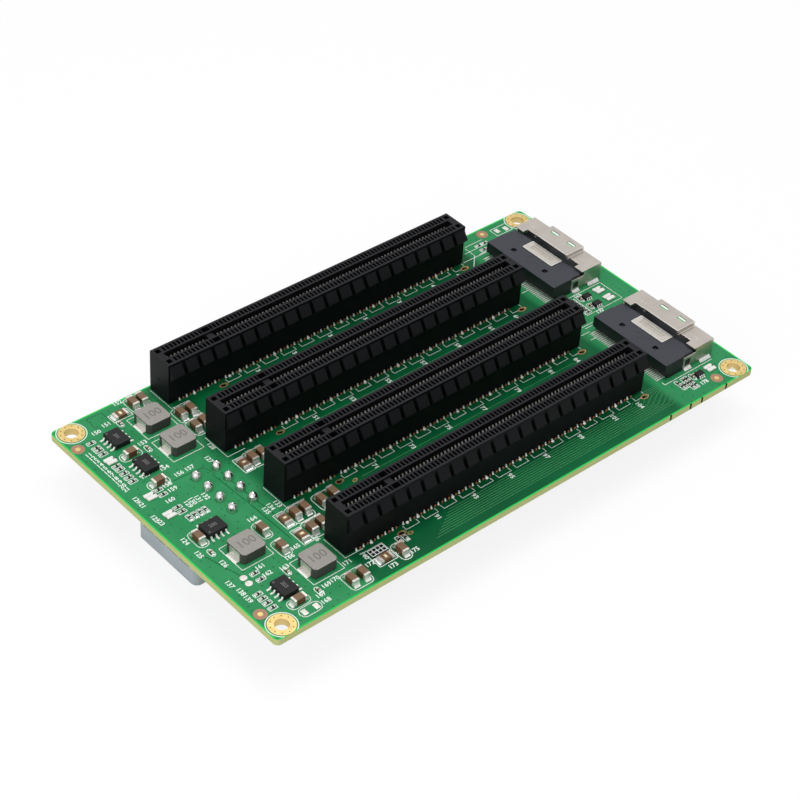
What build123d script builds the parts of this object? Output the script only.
from build123d import *
import math
import os

# Adapter board that carries four long card slots and two link connectors.
# Frame: origin at the centre of the four mounting holes, on the underside of the board.
# +X runs along the slots, from the power end to the link end, +Y across them, +Z up.
# All sizes are in millimetres.

# Card slots
slot_count = 4
slot_pitch = 20.32
slot_length = 88.7
slot_width = 6.9
slot_height = 10.9
card_opening_length = 85.1
card_opening_width = 1.9
card_opening_depth = 8.0
contact_pitch = 1.0
contacts_before_key = 11
contacts_after_key = 71
key_gap = 3.0
key_bridge_width = 1.7
key_bridge_drop = 0.5
cavity_row_offset = 2.15
cavity_length = 1.5
cavity_width = 0.64
cavity_depth = 2.6
end_cavity_offset = 1.6
end_cavity_size = 1.25
key_cavity_width = 2.0
panel_rim = 0.65
panel_flare = 1.55
panel_flare_drop = 3.0
panel_undercut_drop = 4.9
panel_pitch = 4.03
panel_groove = 0.95
panel_end_margin = 0.3

# Board: zones at its two ends and margins beside the outer slots
board_thickness = 1.6
power_zone_length = 26.45
link_zone_length = 27.05
upper_margin = 4.4
lower_margin = 13.85
board_corner_radius = 1.2

# Nicks that the breakaway tabs left in the lower edge, measured from the link edge
nick_width = 0.6
nick_places = (9.4, 17.6, 21.4, 28.0)

# Mounting holes with their plating
hole_inset_x = 3.7
hole_inset_y = 3.05
hole_bore = 3.2
plating_wall = 0.12
pad_diameter = 5.8
pad_thickness = 0.06
pad_sides = 12

# Oval plated holes beside each slot
oval_length = 1.8
oval_width = 0.9
oval_corner = 0.28
oval_offset = 5.5
oval_end_inset = 1.0

# Power header under the board
header_setback = 3.8
header_centre_drop = 12.6
header_width = 20.6
header_depth = 12.0
header_height = 11.2
header_corner_radius = 1.6
header_foot_chamfer = 0.6
header_columns = 4
header_column_pitch = 4.2
header_row_pitch = 3.1
header_first_row = 2.1
header_cell_width = 3.4
header_cell_height = 2.5
header_cell_depth = 9.0
tail_row_offset = 12.7
tail_row_pitch = 5.5
pin_size = 1.0
pin_reach = 6.0
pin_tip_height = 1.3
tail_hole = 1.9
solder_base = 2.5
solder_tip = 0.9
solder_height = 2.1
solder_sides = 8

# Link connectors
link_rows = ((1, -16.45), (3, -12.75))
link_mouth_setback = 4.1
link_width = 23.4
link_body_depth = 9.15
link_body_height = 4.2
link_gap = 1.0
link_shell_depth = 6.0
link_shell_height = 4.8
link_crown_width = 10.9
link_crown_height = 5.8
link_sheet = 0.25
link_slot_length = 2.3
link_slot_width = 1.1
link_slot_spread = 5.6
link_slot_inset = 1.85
link_strap_length = 4.0
link_strap_height = 3.5
link_window_length = 1.8
link_window_height = 1.8
link_window_inset = 0.6
link_notch_width = 3.5
link_notch_depth = 0.9
link_ear_reach = 0.7
link_tongue_width = 20.6
link_tongue_thickness = 0.9
link_tongue_height = 2.3
link_tongue_reach = 3.2
link_plate_length = 10.1
link_plate_width = 3.6
link_plate_thickness = 0.3
link_plate_seat = 0.15
link_plate_edge = 0.1
link_hollow_length = 7.1
link_hollow_width = 1.2
link_hollow_depth = 0.1
link_pit_size = 1.25
link_pit_depth = 0.7
link_pit_spread = 10.8
link_pit_inset = 3.0
link_heel_height = 1.3
link_heel_depth = 1.1
link_tail_count = 37
link_tail_pitch = 0.6
link_tail_width = 0.28
link_tail_thickness = 0.15
link_tail_reach = 1.25

# Power inductors
inductor_size = 6.2
inductor_height = 2.65
inductor_corner = 0.55
terminal_width = 3.4
terminal_height = 2.2
terminal_sheet = 0.2
terminal_foot = 0.6

# Eight-lead regulators
regulator_length = 4.95
regulator_width = 3.85
regulator_height = 1.5
regulator_standoff = 0.15
lead_pitch = 1.27
lead_width = 0.42
lead_thickness = 0.2
lead_span = 6.1
lead_shoulder = 0.7
lead_foot = 0.75

# Capped chip parts: length, width, height and cap length of each case
bulk_case = (3.2, 1.65, 1.6, 0.55)
fuse_case = (3.3, 2.0, 0.8, 0.6)

# Plain chip parts: length, width and height of each case
resistor_case = (1.0, 0.5, 0.35)
small_case = (1.0, 0.5, 0.5)
led_case = (2.6, 2.1, 0.5)
small_ic_case = (2.1, 1.5, 0.9)
array_case = (4.0, 1.9, 0.45)

# Derived places
board_length = power_zone_length + slot_length + link_zone_length
board_width = upper_margin + (slot_count - 1) * slot_pitch + lower_margin
left_edge = -board_length / 2
right_edge = board_length / 2
upper_edge = board_width / 2
slot_left = left_edge + power_zone_length
slot_right = slot_left + slot_length
slot_middle = (slot_left + slot_right) / 2
contact_run = (contacts_before_key + contacts_after_key - 2) * contact_pitch + key_gap
first_contact = -contact_run / 2
key_centre = first_contact + (contacts_before_key - 1) * contact_pitch + key_gap / 2
link_mouth = right_edge - link_mouth_setback
top = board_thickness


def slot_axis(number):
    """Y of the axis of slot 1 to 4, counted from the upper edge."""
    return upper_edge - upper_margin - (number - 1) * slot_pitch


def beside(number, offset):
    """Y of a place that is laid out from the axis of one slot."""
    return slot_axis(number) + offset


def from_left(distance):
    """X of a place that is laid out from the power edge of the board."""
    return left_edge + distance


def block(x0, x1, y0, y1, z0, z1):
    """Box between two corners."""
    size = Box(x1 - x0, y1 - y0, z1 - z0)
    return Pos((x0 + x1) / 2, (y0 + y1) / 2, (z0 + z1) / 2) * size


def contact_places():
    """X of each contact of one row, with the wider step at the key."""
    places = []
    for index in range(contacts_before_key + contacts_after_key):
        step = index * contact_pitch
        if index >= contacts_before_key:
            step += key_gap - contact_pitch
        places.append(first_contact + step)
    return places


def prism(radius, sides, z0, z1):
    """Upright prism with flat sides, each as far from its axis as the radius says."""
    outline = RegularPolygon(radius, sides, major_radius=False)
    return extrude(Pos(0, 0, z0) * outline, amount=z1 - z0, dir=(0, 0, 1))


def tapered_cavity():
    """Contact cavity about its own axis, open at the top face and tapered to its foot."""
    mouth = Pos(0, 0, slot_height) * Rectangle(cavity_width, cavity_length)
    return loft([mouth.face(), Vertex(0, 0, slot_height - cavity_depth)], ruled=True)


def slot_cavities():
    """All pockets of the top face of one slot."""
    cavity = tapered_cavity()
    pockets = []
    for side in (-1, 1):
        row = side * cavity_row_offset
        for x in contact_places():
            pockets.append(Pos(x, row, 0) * cavity)
        for end in (-1, 1):
            x = end * (contact_run / 2 + end_cavity_offset)
            pockets.append(Pos(x, row, slot_height) * Box(end_cavity_size, end_cavity_size, 2 * cavity_depth))
        key_pocket = Box(key_cavity_width, cavity_length, 2 * cavity_depth)
        pockets.append(Pos(key_centre, row, slot_height) * key_pocket)
    return pockets


def flare_panels():
    """Row of wedge panels along one long side, parted by upright grooves."""
    wall = -slot_width / 2
    section = Polyline((wall, slot_height - panel_rim), (wall - panel_flare, slot_height - panel_flare_drop),
                       (wall, slot_height - panel_undercut_drop), close=True)
    profile = make_face(Plane.YZ * section)
    half = slot_length / 2 - panel_end_margin
    strip = extrude(Pos(-half, 0, 0) * profile, amount=2 * half, dir=(1, 0, 0))
    grooves = int(slot_length / panel_pitch) - 1
    first = -(grooves - 1) / 2 * panel_pitch
    cuts = []
    for index in range(grooves):
        x = first + index * panel_pitch
        cuts.append(Pos(x, wall - panel_flare, slot_height / 2) * Box(panel_groove, 2 * panel_flare, 2 * slot_height))
    return strip - cuts


def slot_housing():
    """Moulded housing of one card slot about its own axis, standing on z = 0."""
    body = Pos(0, 0, slot_height / 2) * Box(slot_length, slot_width, slot_height)
    body = body + flare_panels()
    opening = Pos(0, 0, slot_height) * Box(card_opening_length, card_opening_width, 2 * card_opening_depth)
    bridge_top = slot_height - key_bridge_drop
    bridge = block(key_centre - key_bridge_width / 2, key_centre + key_bridge_width / 2,
                   -card_opening_width / 2, card_opening_width / 2, slot_height - card_opening_depth, bridge_top)
    return body - (slot_cavities() + [opening]) + bridge


def place_slots():
    """Four like housings, one node each."""
    housing = slot_housing()
    slots = {}
    for number in range(1, slot_count + 1):
        slots[f"pcie_slot_{number}"] = Pos(slot_middle, slot_axis(number), top) * housing
    return slots


def hole_centres():
    """Centres of the four mounting holes."""
    x = board_length / 2 - hole_inset_x
    y = board_width / 2 - hole_inset_y
    return [(-x, -y), (x, -y), (-x, y), (x, y)]


def oval_centres():
    """Centres of the oval plated holes, at the key and near the far end of each slot."""
    centres = []
    for number in range(1, slot_count + 1):
        y = beside(number, -oval_offset)
        centres.append((slot_middle + key_centre - oval_end_inset / 2, y))
        centres.append((slot_right - oval_end_inset, y))
    return centres


def header_middle():
    """Y of the middle of the power header, laid out from the axis of the second slot."""
    return beside(2, -header_centre_drop)


def tail_centres(row):
    """Centres of the four header tails of row 0, near the power edge, or row 1."""
    x = from_left(header_setback + tail_row_offset + row * tail_row_pitch)
    first = header_middle() - (header_columns - 1) / 2 * header_column_pitch
    return [(x, first + column * header_column_pitch) for column in range(header_columns)]


def board():
    """Laminate with rounded corners, every through hole and the nicks of its lower edge."""
    plate = Pos(0, 0, board_thickness / 2) * Box(board_length, board_width, board_thickness)
    plate = fillet(plate.edges().filter_by(Axis.Z), board_corner_radius)
    mount = prism(hole_bore / 2 + plating_wall, pad_sides, 0, board_thickness)
    drills = [Pos(x, y, 0) * mount for x, y in hole_centres()]
    tail = prism(tail_hole / 2, solder_sides, 0, board_thickness)
    drills += [Pos(x, y, 0) * tail for row in (0, 1) for x, y in tail_centres(row)]
    outline = chamfer(Rectangle(oval_length, oval_width).vertices(), oval_corner)
    oval = extrude(outline, amount=board_thickness, dir=(0, 0, 1))
    drills += [Pos(x, y, 0) * oval for x, y in oval_centres()]
    nick = prism(nick_width / 2, solder_sides, 0, board_thickness)
    drills += [Pos(right_edge - x, -upper_edge, 0) * nick for x in nick_places]
    return plate - drills


def mounting_plating():
    """Plated barrel with a ring pad on both faces, one for each mounting hole."""
    bore = hole_bore / 2
    barrel = prism(bore + plating_wall, pad_sides, 0, board_thickness)
    upper = prism(pad_diameter / 2, pad_sides, board_thickness, board_thickness + pad_thickness)
    lower = prism(pad_diameter / 2, pad_sides, -pad_thickness, 0)
    spool = barrel + upper + lower - Cylinder(bore, 4 * board_thickness)
    return [Pos(x, y, 0) * spool for x, y in hole_centres()]


def header_cell_heights():
    """Z of the two rows of cells, counted down from the board."""
    return [-header_first_row - row * header_row_pitch for row in (0, 1)]


def header_housing():
    """Right-angle housing under the board, mouth towards the power edge."""
    front = from_left(header_setback)
    middle = header_middle()
    body = block(front, front + header_depth, middle - header_width / 2, middle + header_width / 2,
                 -header_height, 0)
    front_uprights = body.edges().filter_by(Axis.Z).group_by(Axis.X)[0]
    body = fillet(front_uprights, header_corner_radius)
    body = chamfer(body.faces().sort_by(Axis.Z)[0].edges(), header_foot_chamfer)
    cuts = []
    for _, y in tail_centres(0):
        for z in header_cell_heights():
            cuts.append(block(front - 1, front + header_cell_depth, y - header_cell_width / 2,
                              y + header_cell_width / 2, z - header_cell_height / 2, z + header_cell_height / 2))
            cuts.append(block(front, front + 2 * header_depth, y - pin_size / 2, y + pin_size / 2,
                              z - pin_size / 2, z + pin_size / 2))
    return body - cuts


def header_pins():
    """Eight bent pins: blade in the cell, then up through the board into the solder."""
    blade_tip = from_left(header_setback) + header_cell_depth - pin_reach
    pins = []
    for row, z in enumerate(header_cell_heights()):
        for x, y in tail_centres(row):
            blade = block(blade_tip, x + pin_size / 2, y - pin_size / 2, y + pin_size / 2,
                          z - pin_size / 2, z + pin_size / 2)
            tail = block(x - pin_size / 2, x + pin_size / 2, y - pin_size / 2, y + pin_size / 2,
                         z - pin_size / 2, top + pin_tip_height)
            pins.append(blade + tail)
    return pins


def header_solder():
    """Solder of each tail: it fills the plated hole and stands as a cone above the board."""
    base = Pos(0, 0, top) * RegularPolygon(solder_base / 2, solder_sides, major_radius=False)
    slope = math.degrees(math.atan((solder_base - solder_tip) / 2 / solder_height))
    cone = extrude(base, amount=solder_height, dir=(0, 0, 1), taper=slope)
    plug = prism(tail_hole / 2, solder_sides, 0, top)
    pin = Box(pin_size, pin_size, 2 * (top + pin_tip_height))
    joint = cone + plug - pin
    return [Pos(x, y, 0) * joint for row in (0, 1) for x, y in tail_centres(row)]


def link_body():
    """Black insulator of one link connector, mouth at x = 0 and board top at z = 0."""
    rear = -link_shell_depth - link_gap - link_body_depth
    front = rear + link_body_depth
    half = link_width / 2
    body = block(rear, front, -half, half, 0, link_body_height)
    heel = block(rear, rear + link_heel_depth, -half, half, 0, link_heel_height)
    plate_seat = block(front - link_plate_width, front, -link_plate_length / 2, link_plate_length / 2,
                       link_body_height - link_plate_seat, link_body_height)
    cuts = [heel, plate_seat]
    seat_length = link_strap_length - link_gap
    for side in (-1, 1):
        seat = Box(seat_length, link_sheet, link_body_height)
        cuts.append(Pos(front - seat_length / 2, side * (half - link_sheet / 2), link_body_height / 2) * seat)
        pit = Box(link_pit_size, link_pit_size, 2 * link_pit_depth)
        cuts.append(Pos(rear + link_pit_inset, side * link_pit_spread / 2, link_body_height) * pit)
    tongue = block(front, front + link_gap + link_tongue_reach, -link_tongue_width / 2, link_tongue_width / 2,
                   link_tongue_height - link_tongue_thickness / 2, link_tongue_height + link_tongue_thickness / 2)
    return (body - cuts) + tongue


def link_shell_section(offset):
    """Outline of the folded shell, drawn inwards by one offset and open to the board."""
    half = link_width / 2 - offset
    crown = link_crown_width / 2 - offset
    shoulder = link_shell_height - offset
    ridge = link_crown_height - offset
    points = [(-half, 0), (half, 0), (half, shoulder), (crown, shoulder), (crown, ridge),
              (-crown, ridge), (-crown, shoulder), (-half, shoulder)]
    return make_face(Plane.YZ * Polyline(*points, close=True))


def link_strap():
    """Side strap with its window, behind the shell and on its own axis."""
    strap = Box(link_strap_length, link_sheet, link_strap_height)
    window_x = (link_window_length - link_strap_length) / 2 + link_window_inset
    return strap - Pos(window_x, 0, 0) * Box(link_window_length, link_sheet, link_window_height)


def link_shell():
    """Folded metal shell with its crown, notched wings, ears and side straps."""
    rear = -link_shell_depth
    section = link_shell_section(0) - link_shell_section(link_sheet)
    shell = extrude(Pos(rear, 0, 0) * section, amount=link_shell_depth, dir=(1, 0, 0))
    half = link_width / 2
    crown = link_crown_width / 2
    ear_width = half - crown - link_notch_width
    cuts = []
    for side in (-1, 1):
        strap_place = Pos(rear - link_strap_length / 2, side * (half - link_sheet / 2), link_strap_height / 2)
        shell = shell + strap_place * link_strap()
        ear = Box(link_ear_reach, ear_width, link_sheet)
        ear_place = Pos(rear - link_ear_reach / 2, side * (half - ear_width / 2), link_shell_height - link_sheet / 2)
        shell = shell + ear_place * ear
        notch = Box(link_notch_depth, link_notch_width, 2 * link_sheet)
        notch_y = side * (crown + link_notch_width / 2)
        cuts.append(Pos(rear + link_notch_depth / 2, notch_y, link_shell_height) * notch)
        slot = Box(link_slot_width, link_slot_length, 2 * link_sheet)
        cuts.append(Pos(-link_slot_inset, side * link_slot_spread / 2, link_crown_height) * slot)
    return shell - cuts


def link_plate():
    """Latch plate let into the top of the insulator, with a long pressed hollow."""
    front = -link_shell_depth - link_gap
    seat = link_body_height - link_plate_seat
    plate = block(front - link_plate_width, front, -link_plate_length / 2, link_plate_length / 2,
                  seat, seat + link_plate_thickness)
    plate = chamfer(plate.faces().sort_by(Axis.Z)[-1].edges(), link_plate_edge)
    hollow = Box(link_hollow_width, link_hollow_length, 2 * link_hollow_depth)
    return plate - Pos(front - link_plate_width / 2, 0, seat + link_plate_thickness) * hollow


def link_tails():
    """Row of flat solder tails at the foot of the insulator's rear wall."""
    rear = -link_shell_depth - link_gap - link_body_depth
    tails = []
    for index in range(link_tail_count):
        y = (index - (link_tail_count - 1) / 2) * link_tail_pitch
        tails.append(block(rear - link_tail_reach, rear + link_heel_depth, y - link_tail_width / 2,
                           y + link_tail_width / 2, 0, link_tail_thickness))
    return tails


def place_links():
    """Both link connectors, with their pieces in nodes of their own."""
    pieces = {"body": [link_body()], "shell": [link_shell()], "latch_plate": [link_plate()],
              "tails": link_tails()}
    nodes = {}
    for index, (number, offset) in enumerate(link_rows):
        place = Pos(link_mouth, beside(number, offset), top)
        for name, solids in pieces.items():
            nodes[f"slimsas_{index + 1}_{name}"] = [place * solid for solid in solids]
    return nodes


def inductor_places():
    """Centres of the four power inductors."""
    return [(from_left(19.9), beside(1, -6.3)), (from_left(19.9), beside(2, 4.7)),
            (from_left(11.1), beside(3, -10.2)), (from_left(20.0), beside(4, -2.1))]


def inductors():
    """Moulded bodies with a shallow seat at each end for the clip terminals."""
    half = inductor_size / 2
    body = Pos(0, 0, top + inductor_height / 2) * Box(inductor_size, inductor_size, inductor_height)
    body = chamfer(body.edges().filter_by(Axis.Z), inductor_corner)
    seats = []
    for side in (-1, 1):
        x = side * (half - terminal_sheet / 2)
        seats.append(Pos(x, 0, top) * Box(terminal_sheet, terminal_width, 2 * terminal_height))
    body = body - seats
    terminals = []
    for side in (-1, 1):
        x = side * (half - terminal_sheet / 2)
        upright = Pos(x, 0, top + terminal_height / 2) * Box(terminal_sheet, terminal_width, terminal_height)
        foot_x = side * (half + terminal_foot / 2)
        foot = Pos(foot_x, 0, top + terminal_sheet / 2) * Box(terminal_foot, terminal_width, terminal_sheet)
        terminals.append(upright + foot)
    bodies = [Pos(x, y, 0) * body for x, y in inductor_places()]
    clips = [Pos(x, y, 0) * clip for x, y in inductor_places() for clip in terminals]
    return bodies, clips


def regulator_places():
    """Centre and turn of the four regulators."""
    return [(from_left(10.05), beside(1, -6.65), 0), (from_left(10.1), beside(2, 3.05), 0),
            (from_left(9.5), beside(3, -1.0), 90), (from_left(10.2), beside(4, -3.5), 0)]


def gull_lead():
    """One bent lead at +X, sloping from the body wall down to its foot on the board."""
    wall = regulator_width / 2
    reach = lead_span / 2
    heel = reach - lead_foot
    high = top + lead_shoulder
    outline = Polyline((wall, high), (heel, top + lead_thickness), (reach, top + lead_thickness), (reach, top),
                       (heel - lead_thickness / 2, top), (wall, high - lead_thickness), close=True)
    face = make_face(Plane.XZ * outline)
    return extrude(Pos(0, lead_width / 2, 0) * face, amount=lead_width, dir=(0, -1, 0))


def regulators():
    """Moulded bodies just off the board, four bent leads on each long side."""
    low = top + regulator_standoff
    body = block(-regulator_width / 2, regulator_width / 2, -regulator_length / 2, regulator_length / 2,
                 low, top + regulator_height)
    lead = gull_lead()
    leads = []
    for index in range(4):
        y = (index - 1.5) * lead_pitch
        leads.append(Pos(0, y, 0) * lead)
        leads.append(Pos(0, y, 0) * Rot(0, 0, 180) * lead)
    bodies = []
    all_leads = []
    for x, y, turn in regulator_places():
        place = Pos(x, y, 0) * Rot(0, 0, turn)
        bodies.append(place * body)
        all_leads += [place * item for item in leads]
    return bodies, all_leads


def chip_parts(places, case):
    """Ceramic blocks between two metal end caps; each place is x, y and a turn."""
    length, width, height, cap = case
    body = Pos(0, 0, top + height / 2) * Box(length - 2 * cap, width, height)
    bodies = []
    caps = []
    for x, y, turn in places:
        place = Pos(x, y, 0) * Rot(0, 0, turn)
        bodies.append(place * body)
        for side in (-1, 1):
            end = Pos(side * (length - cap) / 2, 0, top + height / 2) * Box(cap, width, height)
            caps.append(place * end)
    return bodies, caps


def bulk_places():
    """Large ceramic capacitors: pairs beside the slots, and singles by the inductors."""
    places = [(from_left(20.0), beside(1, 1.15), 90), (from_left(22.4), beside(1, 1.15), 90),
              (from_left(26.3), beside(1, -8.15), 90), (from_left(29.0), beside(1, -8.15), 90),
              (from_left(26.3), beside(2, 6.9), 90), (from_left(28.8), beside(2, 7.2), 90),
              (from_left(29.7), beside(2, -8.9), 90), (from_left(32.3), beside(2, -8.9), 90),
              (from_left(25.9), beside(3, -7.9), 90), (from_left(28.6), beside(3, -7.8), 90),
              (from_left(25.9), beside(4, 6.9), 90), (from_left(28.6), beside(4, 7.0), 90),
              (from_left(17.5), beside(3, -7.4), 90), (from_left(17.4), beside(3, -14.0), 90),
              (from_left(5.4), beside(3, -1.4), 90), (from_left(22.6), beside(4, -10.0), 90),
              (from_left(25.6), beside(4, -10.0), 90), (from_left(36.6), beside(4, -9.6), 90),
              (from_left(33.0), beside(3, -8.2), 90), (from_left(36.4), beside(3, -7.9), 90)]
    places += [(from_left(9.8), beside(1, -12.2), 0), (from_left(9.2), beside(2, -2.8), 0),
               (from_left(10.4), beside(4, -7.9), 0)]
    return places


def fuse_places():
    """Fuses: one along the board at each outer corner, the others across it."""
    return [(from_left(15.7), beside(1, -0.1), 0), (from_left(27.3), beside(2, -9.1), 90),
            (from_left(23.3), beside(3, -7.8), 90), (from_left(23.1), beside(4, 6.6), 90),
            (from_left(32.5), beside(4, -9.2), 0)]


def resistor_places():
    """Small resistors: columns along the power edge, a row by the header and singles by the links."""
    column = 5.2
    places = [(from_left(column), beside(1, y), 0) for y in (-3.9, -5.9, -6.9, -8.4)]
    places += [(from_left(column), beside(2, y), 0) for y in (7.0, 5.7, 4.1, 2.5, 1.0)]
    places += [(from_left(column), beside(4, y), 0) for y in (-1.2, -2.8, -4.3, -6.0)]
    places += [(from_left(column + 2.6), beside(2, y), 0) for y in (-4.5, -6.2, -11.3, -12.9)]
    places += [(from_left(column + 2.7 + 1.4 * step), beside(3, 4.9), 90) for step in range(4)]
    places += [(from_left(column + 3.2), beside(4, y), 0) for y in (3.9, 1.8)]
    places += [(from_left(38.5), beside(4, -6.7), 90), (from_left(40.0), beside(4, -7.0), 90)]
    places += [(link_mouth - 12.05, beside(3, 9.7 - 1.03 * step), 0) for step in range(6)]
    places += [(link_mouth - x, beside(4, y), 90) for x in (12.4, 11.4) for y in (-7.05, -8.35, -9.65)]
    places += [(link_mouth - 14.4, beside(4, -7.05), 90), (link_mouth - 14.4, beside(4, -8.35), 90),
               (link_mouth - 13.4, beside(4, -8.35), 90), (link_mouth - 12.9, beside(1, -0.7), 0),
               (link_mouth - 14.8, beside(1, -0.7), 0), (link_mouth - 14.8, beside(1, -2.6), 0)]
    return places


def small_places():
    """Small ceramic capacitors, one by each inductor and regulator and by each logic part."""
    places = [(from_left(14.0), beside(1, -2.4), 90), (from_left(14.0), beside(2, 7.6), 90),
              (from_left(5.1), beside(3, -6.2), 90), (from_left(14.0), beside(4, 0.25), 90),
              (from_left(15.6), beside(4, -7.9), 90)]
    places += [(x - small_ic_case[0] / 2 - 0.6, y + 0.5, 90) for x, y, _ in small_ic_places()]
    return places


def led_places():
    """White blocks: three by the power edge and three by the link connectors."""
    places = [(from_left(5.1), beside(1, -11.3), 0), (from_left(5.2), beside(2, -5.3), 0),
              (from_left(5.1), beside(2, -12.2), 0)]
    places += [(link_mouth - 3.9, beside(3, 9.0), 0), (link_mouth - 3.9, beside(3, 5.5), 0),
               (link_mouth - 4.3, beside(4, -7.6), 0)]
    return places


def small_ic_places():
    """Three small logic parts beside the link connectors."""
    x = link_mouth - 8.2
    return [(x, beside(3, 8.8), 0), (x, beside(3, 5.3), 0), (x, beside(4, -7.8), 0)]


def plain_blocks(places, case):
    """Plain blocks that stand on the board; each place is x, y and a turn."""
    length, width, height = case
    block_of_case = Pos(0, 0, top + height / 2) * Box(length, width, height)
    return [Pos(x, y, 0) * Rot(0, 0, turn) * block_of_case for x, y, turn in places]


def write_nodes(nodes):
    """One STEP file for each node."""
    os.makedirs("parts", exist_ok=True)
    for name, shapes in nodes.items():
        solids = shapes if isinstance(shapes, list) else [shapes]
        shape = solids[0] if len(solids) == 1 else Compound(children=[Solid(s.solid().wrapped) for s in solids])
        export_step(shape, os.path.join("parts", name + ".step"))


nodes = {"pcb": board(), "mounting_hole_plating": mounting_plating()}
nodes.update(place_slots())
nodes["power_header_housing"] = header_housing()
nodes["power_header_pins"] = header_pins()
nodes["power_header_solder"] = header_solder()
nodes.update(place_links())
nodes["inductor_bodies"], nodes["inductor_terminals"] = inductors()
nodes["regulator_bodies"], nodes["regulator_leads"] = regulators()
nodes["bulk_capacitor_bodies"], nodes["bulk_capacitor_ends"] = chip_parts(bulk_places(), bulk_case)
nodes["fuse_bodies"], nodes["fuse_ends"] = chip_parts(fuse_places(), fuse_case)
nodes["chip_resistor_bodies"] = plain_blocks(resistor_places(), resistor_case)
nodes["chip_capacitor_bodies"] = plain_blocks(small_places(), small_case)
nodes["resistor_array"] = plain_blocks([(from_left(32.5), beside(4, -6.6), 0)], array_case)
nodes["small_ic_bodies"] = plain_blocks(small_ic_places(), small_ic_case)
nodes["status_leds"] = plain_blocks(led_places(), led_case)
write_nodes(nodes)
